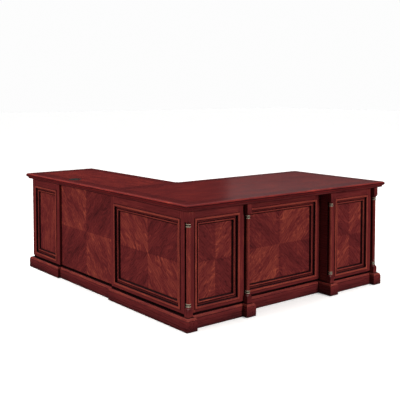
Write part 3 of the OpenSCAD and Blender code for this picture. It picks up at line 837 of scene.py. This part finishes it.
def plinth(node):
    """Each run of plinth keeps its place and its moulded sides, with a finer edge: a step and a
    quarter round."""
    piece = Piece(node + "_runs")
    round_r = 18.5
    for lo, hi, points in solids(node):
        crest = [p for p in points if p.z > hi.z - 0.3 * MM]
        inset = 8 * MM
        left = min(p.x for p in crest) > lo.x + inset
        right = max(p.x for p in crest) < hi.x - inset
        front = min(p.y for p in crest) > lo.y + inset
        back = max(p.y for p in crest) < hi.y - inset
        w, d, t = hi.x - lo.x, hi.y - lo.y, (hi.z - lo.z) / MM
        levels = scaled(
            [(1, 0), (0, 1), (0, t - round_r - 1.2), (0.5, t - round_r - 0.6)]
            + arc((20, t - round_r), (round_r - 0.4, round_r), 180, 90, 12)
        )
        rings = []
        for cut, z in levels:
            x0, x1 = (cut if left else 0), w - (cut if right else 0)
            y0, y1 = (cut if front else 0), d - (cut if back else 0)
            rings.append([(x0, y0, z), (x1, y0, z), (x1, y1, z), (x0, y1, z)])
        step, top_line = (t - round_r) * MM, (t - 2.0) * MM

        # Painted shade: dark along the top under the frame, along the foot and in a line at the
        # small step. The quarter round above the step is lighter than the face below it.
        def tone(p, step=step, top_line=top_line):
            if abs(p.z - step) < 1 * MM:
                return 0.2
            if p.z < 2 * MM:
                return 0.28
            if p.z > top_line:
                return 0.1
            return 0.56 if p.z > step else 0.48

        piece.add(loft(rings), Matrix.Translation(lo), 0 if w > d else 1, tone)
    piece.finish("body_wood", "desk", [node], 28)


# ---------------------------------------------------------------- framed and veneered faces

# How far the panel moulding reaches past the panel.
LIP = 14.2 * MM
# How high the dark strip along the foot of a face is, and how far it is set back.
QUIRK = 12 * MM
SET_BACK = 8 * MM


class Face:
    """A framed face: its place, its size, and the rectangle of its panel moulding."""

    def __init__(self, direction, solid, panel):
        lo, hi, _ = solid
        self.direction, self.panel_name = direction, panel
        self.place, self.w, self.h, self.depth = stand(direction, lo, hi)
        to_face = self.place.inverted()
        a, b = (to_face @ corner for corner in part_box(panel))
        self.panel = [tuple(pick(a[k], b[k]) for k in range(3)) for pick in (min, max)]
        (x0, y0, _), (x1, y1, _) = self.panel
        self.x0, self.x1 = x0 - LIP, x1 + LIP
        self.y0, self.y1 = y0 - LIP, y1 + LIP


def find_faces():
    """The framed faces, each with the panel that stands in it."""
    front = solids("front_frames")
    side = solids("side_frames")
    left_end = min((s for s in side if s[0].y < 0 and s[0].x < 0), key=lambda s: s[0].x)
    right_end = max(side, key=lambda s: s[1].x)
    pedestal = [s for s in side if s[0].y > 0 and s[0].x < left_end[0].x + MM][0]
    far_end = [s for s in side if s[1].x - s[0].x > 0.3][0]
    return {
        "front": [
            Face("front", front[0], "front_left_panel"),
            Face("front", front[1], "front_middle_panel"),
            Face("front", front[2], "front_right_panel"),
        ],
        "side": [
            Face("left", left_end, "left_end_panel"),
            Face("right", right_end, "right_end_panel"),
            Face("left", pedestal, "return_pedestal_panel"),
            Face("back", far_end, "return_end_panel"),
        ],
    }


def frames(name, faces, node):
    """Stiles and rails as separate boards, over a set-back strip along the foot."""
    piece = Piece(name)
    reach, ease = 12 * MM, 0.8 * MM
    for f in faces:
        x0, x1 = f.x0 + reach, f.x1 - reach
        y0, y1 = f.y0 + reach, f.y1 - reach
        for a, b in ((0, x0), (x1, f.w)):
            stile = box_shape((a, QUIRK, -f.depth), (b, f.h, 0))
            piece.add(stile, f.place, 1, BOARD_TONE, ease)
        for a, b in ((QUIRK, y0), (y1, f.h)):
            rail = box_shape((x0, a, -f.depth), (x1, b, 0))
            piece.add(rail, f.place, 0, BOARD_TONE, ease)
        foot = box_shape((0, 0, -f.depth), (f.w, QUIRK, -SET_BACK))
        piece.add(foot, f.place, 0, SHADOW_TONE)
    piece.finish("body_wood", "desk", [node])


# Four members from the outside in: a half round that stands proud of the frame, a cove, a bead
# and a quarter round.
MOULD_SECTION = scaled(
    [(0.0, 0.0)]
    + arc((9.6, 0.4), (9.6, 5.6), 178, 8, 16)
    + [(19.6, -2.0), (19.9, -7.0)]
    + arc((25.8, -7.6), (5.6, 4.0), 185, 352, 10)
    + [(31.8, -8.8)]
    + arc((38.2, -11.6), (5.9, 4.4), 165, 12, 12)
    + [(44.4, -12.6), (44.8, -14.2)]
    + arc((44.8, -19.4), (5.2, 5.2), 88, 4, 8)
    + [(50.0, -21.4), (12.2, -21.4), (12.2, 0.0)]
)


# Where each quirk of the moulding lies, how far its painted shade reaches and how dark it is.
PAINTED_QUIRK_SHADE = ((0.0, 1.6, 0.4), (20.0, 2.4, 0.45), (31.8, 1.8, 0.4), (47.5, 4.2, 0.5))


def mould_tone(p):
    """Painted shade as dark lines in the quirks between the members, and lighter crowns, as wear
    and as painted highlight.
    """
    d, h = p.y / MM, p.z / MM
    dark = sum(depth * math.exp(-((d - place) / reach) ** 2) for place, reach, depth in PAINTED_QUIRK_SHADE)
    crown = 0.63 if h > 5.2 or (36 < d < 41 and h > -8.5) else 0.5
    return max(0.04, crown - dark)


def mouldings(faces):
    """Mitred lengths of panel moulding round every framed panel."""
    piece = Piece("panel_moulding_lengths")
    for f in faces:
        at = f.place @ Matrix.Translation((f.x0, f.y0, 0))
        for place, length in sides_of(at, f.x1 - f.x0, f.y1 - f.y0):
            piece.add(strip(length, MOULD_SECTION), place, 0, mould_tone)
    piece.finish("body_wood", "desk", ["panel_mouldings"], 38)


def quartered(piece, place, lo, hi, tones):
    """Four veneered quarters that meet at the centre, with the grain running out to the corners.
    tones are for the bottom left, bottom right, top left and top right quarters."""
    cx, cy = (lo[0] + hi[0]) / 2, (lo[1] + hi[1]) / 2
    slant = math.sqrt(0.5)
    Piece.parts_made += 1
    seed = Piece.parts_made

    def grain(p):
        x, y = abs(p.x - cx), abs(p.y - cy)
        return Vector(((x + y) * slant, (x - y) * slant, 0.0))

    spans = [(lo[0], cx), (cx, hi[0])], [(lo[1], cy), (cy, hi[1])]
    order = [(x, y) for y in spans[1] for x in spans[0]]
    for (x, y), tone in zip(order, tones):
        part = box_shape((x[0], y[0], lo[2]), (x[1], y[1], hi[2]))
        piece.add(part, place, grain, tone, 0.5 * MM, seed)


# Veneer looks light or dark by the way its grain runs under the light, so quarters alternate. These
# # tones are painted light and shade: one set for faces that look to the front or right, another
# # for faces that look left or back.
PAINTED_LIGHT_FRONT_QUARTERS = (0.53, 0.44, 0.45, 0.525)
PAINTED_LIGHT_SIDE_QUARTERS = (0.445, 0.525, 0.53, 0.435)


def veneers(faces):
    """The panels in the frames: all quartered but the narrow one on the return's pedestal."""
    for f in faces["front"] + faces["side"]:
        piece = Piece(f.panel_name + "_veneer")
        lo, hi = f.panel
        if f.panel_name == "return_pedestal_panel":
            piece.add(box_shape(lo, hi), f.place, 1, NEUTRAL, 0.5 * MM)
        else:
            tones = PAINTED_LIGHT_FRONT_QUARTERS if f.direction in ("front", "right") else PAINTED_LIGHT_SIDE_QUARTERS
            quartered(piece, f.place, lo, hi, tones)
        piece.finish("veneer", "desk", [f.panel_name])


def modesty_panel():
    """The return's long panel has no frame, only the dark strip along its foot."""
    place, w, h, depth = stand("left", *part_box("return_modesty_panel"))
    piece = Piece("return_modesty_veneer")
    foot = box_shape((0, 0, -depth), (w, QUIRK, -SET_BACK))
    piece.add(foot, place, 0, SHADOW_TONE)
    quartered(piece, place, (0, QUIRK, -depth), (w, h, 0), PAINTED_LIGHT_SIDE_QUARTERS)
    piece.finish("veneer", "desk", ["return_modesty_panel"])


# ---------------------------------------------------------------- boards, drawers and fittings

BANDING = 3 * MM


def boards(node, body, material, tone=NEUTRAL, banded=None):
    """Each solid of a node as a board with eased edges, its grain along its longest side. Boards
    of pale wood that are banded have a strip of the outside wood along the edge that faces +X or
    +Y, axis 0 or 1."""
    piece = Piece(node + "_boards")
    bands = Piece(node + "_edge_bands")
    for k, (lo, hi, _) in enumerate(solids(node)):
        size = hi - lo
        grain = max(range(3), key=lambda axis: size[axis])
        if banded is not None:
            start = lo.copy()
            size[banded] -= BANDING
            start[banded] = hi[banded] - BANDING
            band = box_shape((0, 0, 0), tuple(hi - start))
            bands.add(band, Matrix.Translation(start), grain, BOARD_TONE, 0.5 * MM)
        board = box_shape((0, 0, 0), tuple(size))
        shade = tone + 0.05 * math.sin(2.4 * k)
        piece.add(board, Matrix.Translation(lo), grain, shade, 1.0 * MM)
    if bands.verts:
        bands.finish("body_wood", body)
    piece.finish(material, body, [node])


# How far in from its edge the raised field of a drawer front starts, in mm.
FRONT_FIELD = 31.0


def drawer_front(node, body, direction, cutter=None):
    """A drawer front with a mitred border, a routed groove and a raised field."""
    place, w, h, depth = stand(direction, *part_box(node))
    t = depth / MM
    section = scaled(
        [(0, -t), (0, -1.8)] + arc((1.8, -1.8), (1.8, 1.8), 170, 90, 4)
        + [(21.0, 0)] + arc((21.0, -2.4), (5.0, 2.4), 85, 5, 6)
        + [(26.4, -3.0), (FRONT_FIELD, -3.0), (FRONT_FIELD, -t)]
    )

    # Painted shade in the routed groove; the rounded outer edge is lighter.
    def tone(p):
        if p.z < -2.6 * MM and p.y > 1 * MM:
            return 0.14
        return 0.62 if p.y < 2 * MM else 0.5

    piece = Piece(node + "_face", cutter)
    for turned, length in sides_of(place, w, h):
        piece.add(strip(length, section), turned, 0, tone)
    inner = FRONT_FIELD * MM
    field = box_shape((inner, inner, -t * MM), (w - inner, h - inner, 0))
    piece.add(field, place, 0, 0.56, 1.4 * MM)
    piece.finish("veneer", body, [node])


# From the middle of a pull to each foot, and to each end of its bar, in mm.
PULL_FOOT = 48
PULL_END = 56.0


def pull(node, body, direction):
    """A bow pull: a shaped back plate, two turned feet and a bar that swells towards its
    middle."""
    place, w, h, reach = stand(direction, *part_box(node))
    at = place @ Matrix.Translation((w / 2, h / 2, -reach))
    piece = Piece(node + "_bow")
    half_w, half_h, waist = w / 2, h / 2, 6.5 * MM
    outline, steps = [], 28
    for i in range(steps):
        a = 2 * math.pi * i / steps
        x = half_w * math.copysign(abs(math.cos(a)) ** 0.8, math.cos(a))
        lobe = math.exp(-((abs(x) - PULL_FOOT * MM) / (13 * MM)) ** 2)
        y = min(waist + (half_h - waist) * lobe, half_h) * abs(math.sin(a)) ** 0.45
        outline.append((x, math.copysign(y, math.sin(a))))
    piece.add(prism(outline, 0, 2 * MM), at, 0, NEUTRAL, 0.6 * MM)

    bar_h = reach - 5 * MM
    foot = scaled([
        (6.4, 2), (6.4, 3), (5.2, 4.2), (3.9, 6), (3.6, 12), (3.9, 18), (4.8, 21),
        (4.8, bar_h / MM - 1),
    ])
    for side in (-1, 1):
        piece.add(lathe(foot, 28), at @ Matrix.Translation((side * PULL_FOOT * MM, 0, 0)), 2)

    end = [
        (radius, -PULL_END + along)
        for radius, along in ((1.2, 0), (3.2, 0.7), (4.4, 2.6), (4.6, 4.6), (3.4, 6.4))
    ]
    swell = [
        (3.6 + 1.3 * math.cos(math.pi * x / 110) ** 2, x)
        for x in range(-PULL_FOOT, PULL_FOOT + 1, 6)
    ]
    bar = end + swell
    bar += [(radius, -x) for radius, x in reversed(end)]
    along_bar = Matrix.Translation((0, 0, bar_h)) @ Matrix.Rotation(QUARTER_TURN, 4, "Y")
    piece.add(lathe(scaled(bar), 28), at @ along_bar, 2)
    piece.finish("antique_brass", body, [node], 40)


# How far the grommet's flange reaches past its sleeve, and the play round a sleeve or a lock in
# its hole, in mm.
FLANGE = 6.0
PLAY = 0.3


def grommet_ring():
    """The sleeve through the top, with a flange that has a rounded rim."""
    lo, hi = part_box("grommet_sleeve")
    centre = (lo + hi) / 2
    outer, h = (hi.x - lo.x) / 2 / MM, (hi.z - lo.z) / MM
    sleeve = outer - FLANGE
    section = scaled(
        [(sleeve - 4, 0), (sleeve, 0), (sleeve, h - 2), (outer, h - 2)]
        + arc((outer - 2.4, h - 2), (2.4, 2.0), 5, 90, 6)
        + [(sleeve - 0.9, h), (sleeve - 1.5, h - 0.6), (sleeve - 1.5, h - 4), (sleeve - 4, h - 4)]
    )
    piece = Piece("grommet_ring")
    piece.add(lathe(section, 56, True), Matrix.Translation((centre.x, centre.y, lo.z)))
    piece.finish("plastic", "desk", ["grommet_sleeve"], 40)


def grommet_hole():
    """The cutter for the cable hole, through the top and the frame under it."""
    lo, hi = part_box("grommet_sleeve")
    radius = (hi.x - lo.x) / 2 - (FLANGE - PLAY) * MM
    return drill_through((lo + hi) / 2, radius, low=0.5, high=1.0)


def lock_hole():
    """The cutter for the lock, through the drawer front."""
    lo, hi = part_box("lock_core")
    turn = Matrix.Translation((lo + hi) / 2) @ Matrix.Rotation(QUARTER_TURN, 4, "X")
    radius = (hi.x - lo.x) / 2 + PLAY * MM
    verts, faces = lathe([(radius, -40 * MM), (radius, 40 * MM)], 40)
    return [turn @ Vector(v) for v in verts], faces


def keep(node, material, ease):
    """A CAD node whose shape is right keeps it, with its edges eased by so many mm and a material
    of its own."""
    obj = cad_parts[node]
    obj.data.materials.clear()
    obj.data.materials.append(materials[material])
    weld = obj.modifiers.new("weld", "WELD")
    weld.merge_threshold = 0.02 * MM
    bevel = obj.modifiers.new("eased edges", "BEVEL")
    bevel.width = ease * MM
    bevel.segments = 2
    bevel.limit_method = "ANGLE"
    bevel.angle_limit = math.radians(35)
    keep_flat(obj)


def drawers():
    """Each drawer's front, box, pull and slides. The lock passes through the top drawer's
    front."""
    for name in ("top", "middle", "file"):
        body = name + "_drawer"
        drawer_front(body + "_front", body, "back", lock_hole() if name == "top" else None)
        boards(body + "_box", body, "inner_wood")
        pull(body + "_pull", body, "back")
        keep(name + "_slide_middles", "steel", 0.3)
        keep(name + "_slide_inners", "steel", 0.3)
    for name in ("return_upper", "return_lower"):
        body = name + "_drawer"
        drawer_front(name + "_front", body, "right")
        boards(name + "_box", body, "inner_wood")
        pull(name + "_pull", body, "right")
        keep(name + "_middles", "steel", 0.3)
        keep(name + "_inners", "steel", 0.3)


# ---------------------------------------------------------------- the desk

add_camera()
add_studio()

cable_hole = grommet_hole()
top_board("desk_top", (True, True, True, True), seam_x=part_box("return_top")[1].x)
top_board("return_top", (True, True, False, True), cutter=cable_hole)
under_moulding(cable_hole)
posts()
ferrules()
plinth("desk_plinth")
plinth("return_plinth")

faces = find_faces()
frames("front_stiles_and_rails", faces["front"], "front_frames")
frames("side_stiles_and_rails", faces["side"], "side_frames")
mouldings(faces["front"] + faces["side"])
veneers(faces)
modesty_panel()

for board_node in ("left_bay_side", "desk_pedestal_side", "return_pedestal_side"):
    boards(board_node, "desk", "body_wood", BOARD_TONE)
boards("pedestal_linings", "desk", "inner_wood")
boards("desk_pedestal_boards", "desk", "inner_wood", banded=1)
boards("return_pedestal_boards", "desk", "inner_wood", banded=0)
drawers()
grommet_ring()

for kept_node, kept_material, kept_ease in (
    ("drawer_hangers", "dark_wood_x", 1.0), ("centre_drawer_tray", "dark_wood_x", 0.8),
    ("centre_drawer_flap", "body_wood_x", 1.2), ("centre_drawer_inners", "steel", 0.3),
    ("slide_outer_members", "steel", 0.3), ("joining_plates", "steel", 0.4),
    ("plate_screws", "steel", 0.2), ("levelling_glides", "plastic", 0.5),
    ("grommet_cap", "plastic", 0.5), ("lock_core", "antique_brass", 0.3),
):
    keep(kept_node, kept_material, kept_ease)

boxes = {"cad": cad_bounds, "visual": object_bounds()}
{name: [list(corner) for corner in box] for name, box in boxes.items()}
